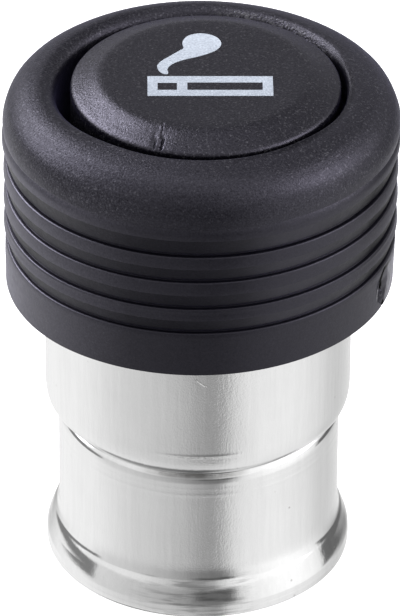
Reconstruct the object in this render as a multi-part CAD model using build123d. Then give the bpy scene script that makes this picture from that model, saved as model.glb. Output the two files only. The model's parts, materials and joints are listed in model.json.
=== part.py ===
from build123d import *
import math
import os

# Push-button lighter plug for a 12 V dashboard socket.
# Frame: origin at the centre of the sleeve's open end, +Z up along the plug's axis,
# the symbol on the button reads upright from -Y. Millimetres.

# ---------------------------------------------------------------- driving dimensions
# sleeve
sleeve_r = 10.40            # upper wall, the size that enters the socket
sleeve_low_r = 9.62         # lower wall
sleeve_end_r = 10.42        # flared open end
sleeve_wall = 0.50
sleeve_step_z = 12.70       # upper wall begins above the step
groove_in_r = 9.37          # narrow groove rolled in under the step
knob_z = 21.59              # underside of the grip ring
seat_deep = 0.20            # recess in that underside, which the sleeve's bevelled shoulder ends in
seat_r = 10.50
shoulder_drop = 0.10        # the straight upper wall ends this far below the ring
neck_r = 10.20              # sleeve inside the grip ring
neck_top = 28.00
snap_z = 25.00              # snap bead that holds the grip ring

# grip ring
skirt_r0, skirt_r1 = 13.05, 13.15
ledge_z = (24.93, 26.83, 28.91, 30.86)     # upper edges of the skirt and of the three ribs
land_z = (25.95, 27.92, 29.95, 32.17)      # lower edges of the three ribs and of the dome
ledge_r = 13.12
land_r = 13.25
lip_r = 13.34
groove_r = 12.86
dome_r = 13.225
ring_bore_r = 9.74
gate_az = 71.8              # tapered moulding gate scallop in the skirt, degrees from -Y towards +X
gate_r0, gate_r1 = 1.20, 0.42
gate_centre_r = 13.55
gate_z0, gate_z1 = 21.29, 24.55

# button
button_r = 9.06
button_x = 0.31             # the button sits off the ring's axis by its play
button_top = 37.06
button_flat_r = 7.07
button_edge_z = 36.27
button_low = 31.20
button_wall = 1.25
button_roof = 1.50
hub_r = 4.20

# plunger
rod_r = 2.00
rod_clear = 0.05            # running clearance in the guide bush
tenon_r = 1.20
travel = 5.50               # button stroke
insert_r = 2.90
spring_mean_r = 6.00
spring_wire_r = 0.40
spring_turns = 7.0

# levels, top down
insert_z0, insert_z1 = 30.60, 35.20
lockwasher_z0 = 30.00
nut_z0 = 27.90
seat_z0 = 27.30
cup_floor_z0, cup_floor_z1 = 12.45, 13.05
cup_top = 18.00
bush_z0, bush_z1 = 12.05, 19.00
stop_z0, stop_z1 = 11.15, 12.00
clip_z0 = 10.75
shoulder_z = 10.50
backing_z0 = 9.90
mica_up_z0 = 9.55
heater_floor_z0 = 9.10
mica_low_z0 = 8.75
post_z0 = 6.85
peen_z0 = 6.40
coil_z0, coil_z1 = 6.50, 8.50
heater_rim_z = 5.90
heater_r = 7.00
heater_wall = 0.40
heater_bead_r = 7.50

# ribbon of the heater
ribbon_t = 0.28
ribbon_pitch = 0.695
ribbon_r0 = 2.26
ribbon_halves = 13


# ---------------------------------------------------------------- helpers
def turned(start, *steps):
    """Solid of revolution about Z from a closed (r, z) profile.
    A step is a point for a line, or a (middle, end) pair for an arc."""
    edges = []
    at = start
    for s in tuple(steps) + (start,):
        if isinstance(s[0], tuple):
            mid, end = s
            edges.append(Edge.make_three_point_arc((at[0], 0, at[1]), (mid[0], 0, mid[1]), (end[0], 0, end[1])))
        else:
            end = s
            if math.dist(at, end) < 1e-6:
                continue
            edges.append(Edge.make_line((at[0], 0, at[1]), (end[0], 0, end[1])))
        at = end
    return revolve(Face(Wire(edges)), axis=Axis.Z, revolution_arc=360)


def tube(r_in, r_out, z0, z1, c=0.0):
    """Washer or tube, with a chamfer c on its outer edges."""
    return turned((r_in, z0), (r_out - c, z0), (r_out, z0 + c), (r_out, z1 - c), (r_out - c, z1), (r_in, z1)) \
        if c > 0 else turned((r_in, z0), (r_out, z0), (r_out, z1), (r_in, z1))


# ---------------------------------------------------------------- housing
t = sleeve_wall
sleeve = turned(
    (sleeve_end_r - t + 0.04, 0.0),
    (sleeve_end_r - 0.08, 0.0),
    ((sleeve_end_r - 0.023, 0.023), (sleeve_end_r, 0.08)),
    (sleeve_end_r, 0.98),
    ((10.265, 1.50), (10.05, 2.00)),
    (9.775, 2.50),
    ((9.685, 2.76), (9.65, 3.05)),
    (sleeve_low_r, 4.00),
    (sleeve_low_r, 10.40),
    ((9.535, 10.83), (groove_in_r, 11.08)),
    (groove_in_r, 11.26),
    ((9.44, 11.44), (9.60, 11.60)),
    (9.90, 11.80),
    (10.14, 11.93),
    ((10.335, 12.21), (sleeve_r, sleeve_step_z)),
    (sleeve_r, knob_z - shoulder_drop),
    (sleeve_r - 0.10, knob_z + seat_deep),
    (neck_r, knob_z + seat_deep),
    (neck_r, snap_z - 0.45),
    ((neck_r + 0.22, snap_z), (neck_r, snap_z + 0.45)),
    (neck_r, neck_top),
    (neck_r - t, neck_top),
    (neck_r - t, snap_z + 0.40),
    ((neck_r - t + 0.16, snap_z), (neck_r - t, snap_z - 0.40)),
    (neck_r - t, knob_z - 0.10),
    (sleeve_r - t, knob_z - 0.50),
    (sleeve_r - t, cup_floor_z0),
    (9.42, cup_floor_z0),
    (groove_in_r - 0.47, 11.30),
    (groove_in_r - 0.47, 10.95),
    (9.12, 10.40),
    (9.12, 3.30),
    ((9.19, 2.62), (9.34, 2.10)),
    ((9.73, 1.36), (sleeve_end_r - t + 0.04, 0.70)),
)

ring_steps = [(13.05 - 0.12, knob_z), ((13.015, knob_z + 0.035), (skirt_r0, knob_z + 0.12)), (skirt_r1, ledge_z[0] - 0.25),
              (ledge_r, ledge_z[0])]
for i in range(4):
    ring_steps.append((groove_r if i < 3 else groove_r - 0.06, ledge_z[i] + 0.02))
    if i < 3:
        ring_steps.append((land_r, land_z[i]))
        ring_steps.append((land_r - 0.015, land_z[i] + 0.34))
        ring_steps.append((ledge_r, ledge_z[i + 1]))
    else:
        ring_steps.append((lip_r, land_z[i]))
        ring_steps.append((lip_r - 0.015, land_z[i] + 0.25))
ring_steps += [
    (dome_r - 0.02, 33.08), (dome_r, 33.14),
    ((13.18, 33.76), (13.05, 34.33)),
    ((12.82, 34.86), (12.43, 35.335)),
    ((11.95, 35.71), (11.40, 35.99)),
    ((10.70, 36.20), (9.98, 36.355)),
    ((9.82, 36.315), (ring_bore_r, 36.15)),
    (ring_bore_r, neck_top), (neck_r + 0.05, neck_top),
    (neck_r + 0.05, snap_z + 0.55), ((neck_r + 0.33, snap_z), (neck_r + 0.05, snap_z - 0.55)),
    (neck_r + 0.05, knob_z + seat_deep), (seat_r, knob_z + seat_deep),
]
grip_ring = turned((seat_r, knob_z), *ring_steps)
ga = math.radians(gate_az)
gate = Pos(gate_centre_r * math.sin(ga), -gate_centre_r * math.cos(ga), (gate_z0 + gate_z1) / 2) * \
    Cone(gate_r0, gate_r1, gate_z1 - gate_z0)
grip_ring = grip_ring - gate

guide_cup = turned(
    (3.02, cup_floor_z0), (9.60, cup_floor_z0), ((9.80, 12.53), (9.88, 12.73)), (9.88, cup_top),
    (9.33, cup_top), (9.33, cup_floor_z1 + 0.10), (9.23, cup_floor_z1), (3.02, cup_floor_z1),
)

bore = rod_r + rod_clear
guide_bush = turned(
    (bore, bush_z0), (3.40, bush_z0), (3.60, bush_z0 + 0.20), (3.60, cup_floor_z0), (3.00, cup_floor_z0),
    (3.00, cup_floor_z1), (4.40, cup_floor_z1), (4.40, cup_floor_z1 + 0.60), (4.30, cup_floor_z1 + 0.70),
    (3.00, cup_floor_z1 + 0.70), (3.00, bush_z1 - 0.30), (2.70, bush_z1), (bore, bush_z1),
)

spring_low = cup_floor_z1 + spring_wire_r + 0.05
spring_high = seat_z0 - spring_wire_r - 0.05
coil_path = Helix(pitch=(spring_high - spring_low) / spring_turns, height=spring_high - spring_low, radius=spring_mean_r)
return_spring = Pos(0, 0, spring_low) * sweep(Plane(coil_path @ 0, z_dir=coil_path % 0) * Circle(spring_wire_r), path=coil_path)

# ---------------------------------------------------------------- plunger
br = button_r
shell = turned(
    (0.0, button_top - button_roof), (0.0, button_top), (button_flat_r - 0.45, button_top),
    ((button_flat_r - 0.02, button_top - 0.05), (button_flat_r + 0.40, button_top - 0.18)),
    (br - 0.16, button_edge_z + 0.04),
    ((br - 0.045, button_edge_z - 0.075), (br, button_edge_z - 0.22)),
    (br, button_low), (br - button_wall, button_low), (br - button_wall, button_top - button_roof),
)
hub = Pos(0, 0, insert_z0) * extrude(Circle(hub_r), button_top - button_roof + 0.2 - insert_z0)
button = Pos(button_x, 0, 0) * shell
button = button + hub
for k in range(4):
    rib = Rot(0, 0, 45 + 90 * k) * Pos(5.9, 0, 33.9) * Box(4.6, 1.0, 3.4)
    button = button + rib
button = button - Pos(0, 0, insert_z0 - 1.0) * extrude(Circle(insert_r + 0.01), insert_z1 - insert_z0 + 1.0)

threaded_insert = turned(
    (rod_r + 0.01, insert_z0), (insert_r - 0.15, insert_z0), (insert_r, insert_z0 + 0.15), (insert_r, 32.40),
    (insert_r - 0.35, 32.60), (insert_r - 0.35, 33.20), (insert_r, 33.40), (insert_r, insert_z1 - 0.15),
    (insert_r - 0.15, insert_z1), (rod_r + 0.01, insert_z1),
)

push_rod = turned(
    (0.0, peen_z0),
    ((0.95, peen_z0 + 0.1136), (1.85, peen_z0 + 0.45)), (tenon_r, post_z0), (tenon_r, shoulder_z),
    (rod_r, shoulder_z), (rod_r, clip_z0 - 0.01), (1.60, clip_z0 - 0.01), (1.60, stop_z0 + 0.01), (rod_r, stop_z0 + 0.01),
    (rod_r, 34.60), (rod_r - 0.40, 35.00), (0.0, 35.00),
)

nut_af = 7.0
lock_nut = Pos(0, 0, nut_z0) * extrude(RegularPolygon(nut_af / 2, 6, major_radius=False), lockwasher_z0 - nut_z0)
lock_nut = lock_nut & turned((0.0, nut_z0), (3.55, nut_z0), (4.15, nut_z0 + 0.35), (4.15, lockwasher_z0 - 0.35),
                             (3.55, lockwasher_z0), (0.0, lockwasher_z0))
lock_nut = lock_nut - Pos(0, 0, nut_z0 - 1) * extrude(Circle(rod_r + 0.01), 5)

lock_washer = tube(rod_r + 0.06, 3.45, lockwasher_z0, insert_z0) - Pos(2.8, 0, lockwasher_z0 + 0.3) * Box(2.4, 0.35, 2.0)

spring_seat = turned(
    (rod_r + 0.08, seat_z0), (5.10, seat_z0), (5.20, seat_z0 - 0.60), (5.45, seat_z0 - 0.60), (5.45, seat_z0),
    (7.20, seat_z0), (7.20, seat_z0 + 0.45), (7.05, nut_z0), (rod_r + 0.08, nut_z0),
)

stop_washer = tube(rod_r + 0.06, 4.60, stop_z0, stop_z1, 0.10)

retaining_clip = tube(1.62, 3.60, clip_z0, stop_z0)
retaining_clip = retaining_clip - Pos(0, -3.0, (clip_z0 + stop_z0) / 2) * Box(2.6, 6.0, 1.0)
for a in (35, 145):
    ca = math.radians(a)
    retaining_clip = retaining_clip - Pos(2.35 * math.cos(ca), 2.35 * math.sin(ca), clip_z0 - 0.5) * extrude(Circle(0.55), 1.5)

backing_plate = turned(
    (tenon_r + 0.05, backing_z0), (5.85, backing_z0), (6.00, backing_z0 + 0.15), (6.00, shoulder_z - 0.15),
    (5.85, shoulder_z), (tenon_r + 0.05, shoulder_z),
)

upper_mica = tube(1.90, 5.60, mica_up_z0, backing_z0)

hr = heater_r
heater_cup = turned(
    (1.90, heater_floor_z0), (hr - heater_wall - 0.25, heater_floor_z0),
    ((hr - heater_wall - 0.07, heater_floor_z0 - 0.07), (hr - heater_wall, heater_floor_z0 - 0.25)),
    (hr - heater_wall, heater_rim_z + 0.12), ((hr - heater_wall + 0.04, heater_rim_z + 0.03), (hr - heater_wall + 0.14, heater_rim_z)),
    (heater_bead_r - 0.28, heater_rim_z), ((heater_bead_r, heater_rim_z + 0.28), (heater_bead_r - 0.28, heater_rim_z + 0.56)),
    ((hr + 0.06, heater_rim_z + 0.66), (hr, heater_rim_z + 0.86)),
    (hr, mica_up_z0 - 0.55), ((hr - 0.16, mica_up_z0 - 0.16), (hr - 0.55, mica_up_z0)),
    (1.90, mica_up_z0),
)

ceramic_ferrule = tube(tenon_r + 0.05, 1.87, mica_low_z0, backing_z0)

lower_mica = tube(1.90, 6.30, mica_low_z0, heater_floor_z0)

centre_post = turned(
    (tenon_r + 0.05, post_z0), (1.95, post_z0), (2.10, post_z0 + 0.15), (2.10, mica_low_z0), (tenon_r + 0.05, mica_low_z0),
)

# flat spiral of half turns about two centres, half a pitch apart
outer_edges, inner_edges = [], []
for k in range(ribbon_halves):
    cx = 0.0 if k % 2 == 0 else ribbon_pitch / 2
    rr = ribbon_r0 + k * ribbon_pitch / 2
    side = 1.0 if k % 2 == 0 else -1.0
    for lst, off in ((outer_edges, ribbon_t / 2), (inner_edges, -ribbon_t / 2)):
        r = rr + off
        lst.append(Edge.make_three_point_arc((cx + side * r, 0, 0), (cx, side * r, 0), (cx - side * r, 0, 0)))
cap0 = Edge.make_line(inner_edges[0] @ 0, outer_edges[0] @ 0)
cap1 = Edge.make_line(outer_edges[-1] @ 1, inner_edges[-1] @ 1)
ribbon_face = Face(Wire(outer_edges + [cap1] + inner_edges + [cap0]))
if ribbon_face.normal_at().Z < 0:
    ribbon_face = -ribbon_face
heater_coil = Pos(0, 0, coil_z0) * extrude(ribbon_face, coil_z1 - coil_z0, dir=(0, 0, 1))

# ---------------------------------------------------------------- write the pieces
pieces = {
    "grip_ring": grip_ring, "sleeve": sleeve, "guide_cup": guide_cup, "guide_bush": guide_bush,
    "return_spring": return_spring, "button": button, "threaded_insert": threaded_insert, "push_rod": push_rod,
    "lock_nut": lock_nut, "lock_washer": lock_washer, "spring_seat": spring_seat, "stop_washer": stop_washer,
    "retaining_clip": retaining_clip, "backing_plate": backing_plate, "upper_mica": upper_mica,
    "heater_cup": heater_cup, "ceramic_ferrule": ceramic_ferrule, "lower_mica": lower_mica,
    "centre_post": centre_post, "heater_coil": heater_coil,
}
os.makedirs("parts", exist_ok=True)
for name, shape in pieces.items():
    export_step(shape, os.path.join("parts", name + ".step"))
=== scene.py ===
import bpy, bmesh, json, math
import numpy as np
from mathutils import Matrix, Vector


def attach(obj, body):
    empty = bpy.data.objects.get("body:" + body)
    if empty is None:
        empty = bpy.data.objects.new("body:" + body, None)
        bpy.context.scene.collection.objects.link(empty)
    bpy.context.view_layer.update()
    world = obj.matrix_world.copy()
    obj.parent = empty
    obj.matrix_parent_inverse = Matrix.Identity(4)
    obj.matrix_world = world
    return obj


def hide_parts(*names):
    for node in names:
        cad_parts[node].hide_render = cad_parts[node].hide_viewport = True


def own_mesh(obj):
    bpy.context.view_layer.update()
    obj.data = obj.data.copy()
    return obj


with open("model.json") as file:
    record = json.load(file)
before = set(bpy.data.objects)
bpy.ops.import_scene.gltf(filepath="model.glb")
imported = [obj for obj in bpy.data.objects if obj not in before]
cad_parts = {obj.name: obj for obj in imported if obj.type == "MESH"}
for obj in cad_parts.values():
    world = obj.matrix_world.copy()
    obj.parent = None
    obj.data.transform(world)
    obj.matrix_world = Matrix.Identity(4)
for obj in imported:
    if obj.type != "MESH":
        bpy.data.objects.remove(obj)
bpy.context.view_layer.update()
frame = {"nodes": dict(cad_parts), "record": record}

MM = 0.001
scene = bpy.context.scene
scene.view_settings.view_transform = "Standard"
scene.view_settings.look = "None"


# ------------------------------------------------------------------ mesh helpers (millimetres in, metres out)
def arc3(p0, pm, p1, n):
    """n+1 points on the arc from p0 through pm to p1."""
    ax, ay = p0; bx, by = pm; cx, cy = p1
    d = 2 * (ax * (by - cy) + bx * (cy - ay) + cx * (ay - by))
    ux = ((ax * ax + ay * ay) * (by - cy) + (bx * bx + by * by) * (cy - ay) + (cx * cx + cy * cy) * (ay - by)) / d
    uy = ((ax * ax + ay * ay) * (cx - bx) + (bx * bx + by * by) * (ax - cx) + (cx * cx + cy * cy) * (bx - ax)) / d
    r = math.hypot(ax - ux, ay - uy)
    a0 = math.atan2(ay - uy, ax - ux); am = math.atan2(by - uy, bx - ux); a1 = math.atan2(cy - uy, cx - ux)
    two = 2 * math.pi
    up = (am - a0) % two < (a1 - a0) % two
    sweep = (a1 - a0) % two if up else -((a0 - a1) % two)
    return [(ux + r * math.cos(a0 + sweep * i / n), uy + r * math.sin(a0 + sweep * i / n)) for i in range(n + 1)]


def spline(pts, n):
    """Smooth open curve through pts, n steps per span."""
    p = [np.array(q, float) for q in pts]
    p = [2 * p[0] - p[1]] + p + [2 * p[-1] - p[-2]]
    out = []
    for i in range(1, len(p) - 2):
        a, b, c, d = p[i - 1:i + 3]
        ta, tb, tc, td = 0.0, np.linalg.norm(b - a) ** .5, 0, 0
        tc = tb + np.linalg.norm(c - b) ** .5
        td = tc + np.linalg.norm(d - c) ** .5
        for k in range(n):
            t = tb + (tc - tb) * k / n
            a1 = a * (tb - t) / (tb - ta) + b * (t - ta) / (tb - ta)
            a2 = b * (tc - t) / (tc - tb) + c * (t - tb) / (tc - tb)
            a3 = c * (td - t) / (td - tc) + d * (t - tc) / (td - tc)
            b1 = a1 * (tc - t) / (tc - ta) + a2 * (t - ta) / (tc - ta)
            b2 = a2 * (td - t) / (td - tb) + a3 * (t - tb) / (td - tb)
            out.append(tuple(b1 * (tc - t) / (tc - tb) + b2 * (t - tb) / (tc - tb)))
    out.append(tuple(p[-2]))
    return out


def rounded(corners, n=4, near=0.035):
    """Closed outline from (r, z, radius) corners: each corner becomes an arc of that radius,
    with a support point just before and after it so that flats stay flat when shaded smooth."""
    out = []
    m = len(corners)
    for i in range(m):
        p = np.array(corners[i][:2], float); f = corners[i][2] if len(corners[i]) > 2 else 0.0
        a = np.array(corners[i - 1][:2], float); b = np.array(corners[(i + 1) % m][:2], float)
        la, lb = np.linalg.norm(a - p), np.linalg.norm(b - p)
        if f <= 0:
            out.append(tuple(p)); continue
        ua, ub = (a - p) / la, (b - p) / lb
        ang = math.acos(max(-1, min(1, float(ua @ ub))))
        t = f / math.tan(ang / 2)
        t = min(t, 0.45 * la, 0.45 * lb)
        f = t * math.tan(ang / 2)
        c = p + (ua + ub) / np.linalg.norm(ua + ub) * (f / math.sin(ang / 2))
        s, e = p + ua * t, p + ub * t
        if la > t + 2.5 * near:
            out.append(tuple(p + ua * (t + near)))
        a0 = math.atan2(s[1] - c[1], s[0] - c[0]); a1 = math.atan2(e[1] - c[1], e[0] - c[0])
        da = (a1 - a0 + math.pi) % (2 * math.pi) - math.pi
        for k in range(n + 1):
            out.append((c[0] + f * math.cos(a0 + da * k / n), c[1] + f * math.sin(a0 + da * k / n)))
        if lb > t + 2.5 * near:
            out.append(tuple(p + ub * (t + near)))
    return out


def turn_angles(step, fine=()):
    """Degrees round the axis, 0 towards -Y and positive towards +X, closer together in the fine ranges."""
    a = list(np.arange(-180, 180, step))
    for mid, half, fstep in fine:
        a = [x for x in a if abs(x - mid) > half] + list(np.arange(mid - half, mid + half + 1e-6, fstep))
    return np.radians(np.array(sorted(a)))


def lathe(name, outline, angles, shape=None, centre_x=None, closed=True):
    """Closed solid of revolution. shape(A, R, Z) may return moved radii and heights, centre_x a shift for each outline point."""
    o = np.array(outline)
    A, R = np.meshgrid(angles, o[:, 0], indexing="ij")
    Z = np.broadcast_to(o[:, 1], R.shape).copy()
    R = R.copy()
    if shape is not None:
        R, Z = shape(A, R, Z)
    X = R * np.sin(A); Y = -R * np.cos(A)
    if centre_x is not None:
        X = X + np.array(centre_x)[None, :]
    na, npts = R.shape
    verts = np.stack([X, Y, Z], -1).reshape(-1, 3) * MM
    faces = []
    last = npts if closed else npts - 1
    for i in range(na):
        i2 = (i + 1) % na
        for j in range(last):
            j2 = (j + 1) % npts
            faces.append((i * npts + j, i2 * npts + j, i2 * npts + j2, i * npts + j2))
    me = bpy.data.meshes.new(name)
    me.from_pydata(verts.tolist(), [], faces)
    bm = bmesh.new(); bm.from_mesh(me)
    bmesh.ops.remove_doubles(bm, verts=bm.verts, dist=2e-8)
    bmesh.ops.dissolve_degenerate(bm, edges=bm.edges, dist=1e-9)
    bmesh.ops.recalc_face_normals(bm, faces=bm.faces)
    for f in bm.faces:
        f.smooth = True
    bm.to_mesh(me); bm.free()
    ob = bpy.data.objects.new(name, me)
    scene.collection.objects.link(ob)
    return ob


# ------------------------------------------------------------------ material helpers
class Mat:
    def __init__(self, name):
        self.m = bpy.data.materials.new(name)
        self.m.use_nodes = True
        self.nt = self.m.node_tree
        self.b = next(n for n in self.nt.nodes if n.type == "BSDF_PRINCIPLED")
        self.tc = self.nt.nodes.new("ShaderNodeTexCoord")
        self.obj = self.tc.outputs["Object"]

    def node(self, kind, **kw):
        n = self.nt.nodes.new(kind)
        for k, v in kw.items():
            setattr(n, k, v)
        return n

    def put(self, sock, v):
        if hasattr(v, "is_linked") or hasattr(v, "links"):
            self.nt.links.new(v, sock)
        else:
            sock.default_value = v

    def math(self, op, a, b=None, c=None, clamp=False):
        n = self.node("ShaderNodeMath", operation=op, use_clamp=clamp)
        for i, v in enumerate((a, b, c)):
            if v is not None:
                self.put(n.inputs[i], v)
        return n.outputs[0]

    def stretch(self, scale):
        n = self.node("ShaderNodeMapping")
        self.put(n.inputs["Vector"], self.obj)
        n.inputs["Scale"].default_value = scale
        return n.outputs[0]

    def noise(self, scale, detail=2.0, rough=0.5, vec=None, dist=0.0):
        n = self.node("ShaderNodeTexNoise")
        self.put(n.inputs["Vector"], vec if vec is not None else self.obj)
        n.inputs["Scale"].default_value = scale
        n.inputs["Detail"].default_value = detail
        n.inputs["Roughness"].default_value = rough
        n.inputs["Distortion"].default_value = dist
        return n.outputs["Fac"]

    def cells(self, scale, out="Distance", feature="F1", vec=None, rand=1.0):
        n = self.node("ShaderNodeTexVoronoi", feature=feature)
        self.put(n.inputs["Vector"], vec if vec is not None else self.obj)
        n.inputs["Scale"].default_value = scale
        n.inputs["Randomness"].default_value = rand
        return n.outputs[out]

    def remap(self, v, a, b, c=0.0, d=1.0, smooth=False):
        n = self.node("ShaderNodeMapRange")
        if smooth:
            n.interpolation_type = "SMOOTHSTEP"
        self.put(n.inputs["Value"], v)
        for k, x in (("From Min", a), ("From Max", b), ("To Min", c), ("To Max", d)):
            n.inputs[k].default_value = x
        return n.outputs["Result"]

    def mixc(self, f, a, b):
        """Mixes two colours, each a tuple or a socket."""
        n = self.node("ShaderNodeMix", data_type="RGBA")
        self.nt.links.new(f, n.inputs[0])
        for i, v in ((6, a), (7, b)):
            if isinstance(v, tuple):
                n.inputs[i].default_value = (*v, 1.0)
            else:
                self.nt.links.new(v, n.inputs[i])
        return n.outputs[2]

    def bump(self, height, strength, distance, after=None):
        n = self.node("ShaderNodeBump")
        n.inputs["Strength"].default_value = strength
        n.inputs["Distance"].default_value = distance
        self.put(n.inputs["Height"], height)
        if after is not None:
            self.nt.links.new(after, n.inputs["Normal"])
        return n.outputs["Normal"]

    def set(self, **kw):
        for k, v in kw.items():
            k = k.replace("_", " ")
            s = self.b.inputs[k]
            if isinstance(v, tuple):
                s.default_value = (*v, 1.0) if len(v) == 3 and s.type == "RGBA" else v
            else:
                self.put(s, v)
        return self

    def xyz(self):
        n = self.node("ShaderNodeSeparateXYZ")
        self.put(n.inputs[0], self.obj)
        return n.outputs


# ------------------------------------------------------------------ materials
def black_plastic(name, r0, r1, grain_depth, ring):
    k = Mat(name)
    x, y, z = k.xyz()
    grain = k.noise(8200, 2.0, 0.65)
    coarse = k.noise(2600, 2.0, 0.5)
    cloud = k.noise(300, 3.0, 0.55)
    top = k.remap(z, 0.0325, 0.0340)                                  # dome and button are grained, the ribs smoother
    tone = k.math("MULTIPLY_ADD", grain, 0.55, k.math("MULTIPLY", cloud, 0.45))
    col = k.mixc(k.remap(tone, 0.35, 0.66), (0.0007, 0.0006, 0.0017), (0.0026, 0.0024, 0.0044))
    calm = k.math("MULTIPLY", k.remap(y, -0.0090, -0.0115), k.remap(x, -0.0070, -0.0030))        # smoother at the front
    speck = k.math("MULTIPLY", k.remap(k.noise(6200, 2.0, 0.6), 0.56, 0.74), k.math("MULTIPLY", k.remap(top, 0, 1, 0.2, 1.0), k.remap(calm, 0, 1, 1.0, 0.35)))
    col = k.mixc(speck, col, (0.040, 0.040, 0.042) if ring else (0.038, 0.038, 0.040))
    # sparse pale dust
    cell = k.cells(900, "Distance")
    pick = k.cells(900, "Color")
    sep = k.node("ShaderNodeSeparateColor"); k.put(sep.inputs[0], pick)
    dust = k.math("MULTIPLY", k.remap(cell, 0.09, 0.04), k.math("MULTIPLY", k.remap(sep.outputs[0], 0.970, 0.975), top))
    col = k.mixc(dust, col, (0.15, 0.15, 0.16))
    rough = k.remap(k.math("MULTIPLY_ADD", coarse, 0.6, k.math("MULTIPLY", grain, 0.4)), 0.3, 0.7, r0, r1)
    shine = k.math("MULTIPLY_ADD", k.math("SUBTRACT", grain, 0.5), k.math("MULTIPLY", k.remap(top, 0, 1, 0.3, 0.9), k.remap(x, -0.0030, -0.0070, 1.0, 1.75)))
    shine.node.inputs[2].default_value = 0.55
    shine = k.math("MULTIPLY_ADD", speck, 0.45, shine)
    n1 = k.bump(coarse, 0.30, 0.000020)
    n2 = k.bump(grain, 1.0, grain_depth, n1)
    k.nt.links.new(k.math("MULTIPLY", k.remap(top, 0, 1, 0.30, 1.0), k.remap(calm, 0, 1, 1.0, 0.55)), n2.node.inputs["Strength"])
    if ring:
        rad = k.math("SQRT", k.math("ADD", k.math("MULTIPLY", x, x), k.math("MULTIPLY", y, y)))
        turn = k.math("MULTIPLY", k.math("ARCTAN2", x, k.math("MULTIPLY", y, -1.0)), 180 / math.pi)      # degrees from -Y towards +X
        # coarse pale grain on the back right of the inner edge
        lip = k.math("MULTIPLY", k.remap(rad, 0.01034, 0.01018), k.remap(z, 0.0350, 0.0353))
        lip = k.math("MULTIPLY", lip, k.math("MULTIPLY", k.remap(turn, 112, 126), k.remap(turn, 178, 166)))
        crumb = k.noise(5600, 1.5, 0.6)
        col = k.mixc(k.math("MULTIPLY", lip, k.remap(crumb, 0.46, 0.66)), col, (0.074, 0.074, 0.074))
        n2 = k.bump(crumb, 1.0, 0.00007, n2)
        k.nt.links.new(lip, n2.node.inputs["Strength"])
        # painted shade: the gloss level and sheen are turned down on the downward faces of the ribs, over the front,
        # the right and the left side
        geo = k.node("ShaderNodeNewGeometry")
        nsep = k.node("ShaderNodeSeparateXYZ"); k.put(nsep.inputs[0], geo.outputs["Normal"])
        painted_shade = k.math("ADD", k.remap(turn, 24, 12, 0.0, 0.48), k.math("ADD", k.remap(turn, 32, 44, 0.0, 0.48), k.remap(turn, 46, 60, 0.0, 0.46)))
        painted_shade = k.math("MULTIPLY", k.math("ADD", painted_shade, k.remap(turn, -26, -60, 0.0, 0.43)), k.remap(nsep.outputs[2], -0.10, -0.24))
        # painted shade: the gloss level is also turned down on the inner edge on the right
        rim_shade = k.math("MULTIPLY", k.math("MAXIMUM", k.remap(rad, 0.00990, 0.00976, 0.0, 0.95), k.remap(rad, 0.01034, 0.01008, 0.0, 0.60)), k.remap(z, 0.0335, 0.0340))
        rim_shade = k.math("MULTIPLY", rim_shade, k.math("MULTIPLY", k.remap(turn, 8, 35), k.remap(turn, 130, 112)))
        painted_shade = k.math("MAXIMUM", painted_shade, rim_shade)
        shine = k.math("MULTIPLY", shine, k.remap(painted_shade, 0, 1, 1.0, 0.0))
        # painted shade: the skirt below the first ledge gets 0.84 of the gloss level
        shine = k.math("MULTIPLY", shine, k.remap(z, 0.0246, 0.0252, 0.84, 1.0))
        # painted shade: gloss level lowered to 0.78 on the inner left of the dome
        inner_left_shade = k.math("MULTIPLY", k.remap(x, -0.0025, -0.0055), k.math("MULTIPLY", k.remap(rad, 0.0127, 0.0121), k.remap(z, 0.0335, 0.0345)))
        shine = k.math("MULTIPLY", shine, k.remap(inner_left_shade, 0, 1, 1.0, 0.78))
        # painted highlight: gloss level raised up to 2.45 times on the ribs and skirt of the left side
        ribs = k.remap(z, 0.0332, 0.0330)
        shine = k.math("MULTIPLY", shine, k.remap(k.math("MULTIPLY", ribs, k.remap(x, -0.0045, -0.0125)), 0, 1, 1.0, 2.45))
        # torn gate: painted shade makes the tear and a slit below it black, and a painted highlight makes the face on
        # the right and the tear's left edge pale
        gate = k.math("MULTIPLY", k.remap(x, 0.0116, 0.0117), k.remap(y, 0.0, -0.0010))
        tear = k.math("ADD", k.remap(z, 0.02348, 0.02400, 0.01210, 0.01230), k.remap(z, 0.02400, 0.02465, 0.0, 0.00014))
        off = k.math("SUBTRACT", k.math("ABSOLUTE", k.math("SUBTRACT", x, tear)), k.remap(z, 0.0234, 0.0246, 0.000135, 0.000065))
        gate_shade = k.math("MULTIPLY", k.remap(off, 0.000030, -0.000020), k.math("MULTIPLY", k.remap(z, 0.02288, 0.02303), k.remap(z, 0.02480, 0.02465)))
        slit = k.math("MULTIPLY", k.remap(k.math("ABSOLUTE", k.math("SUBTRACT", x, 0.01232)), 0.000090, 0.000050), k.remap(z, 0.02212, 0.02202))
        gate_shade = k.math("MULTIPLY", k.math("MAXIMUM", gate_shade, slit), gate)
        side = k.remap(z, 0.0222, 0.0230, 0.01247, 0.01266)
        gate_highlight = k.math("MULTIPLY", k.remap(k.math("SUBTRACT", x, side), -0.00006, 0.00006), k.math("MULTIPLY", k.remap(z, 0.0216, 0.0219), k.remap(z, 0.0245, 0.0240)))
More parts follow.
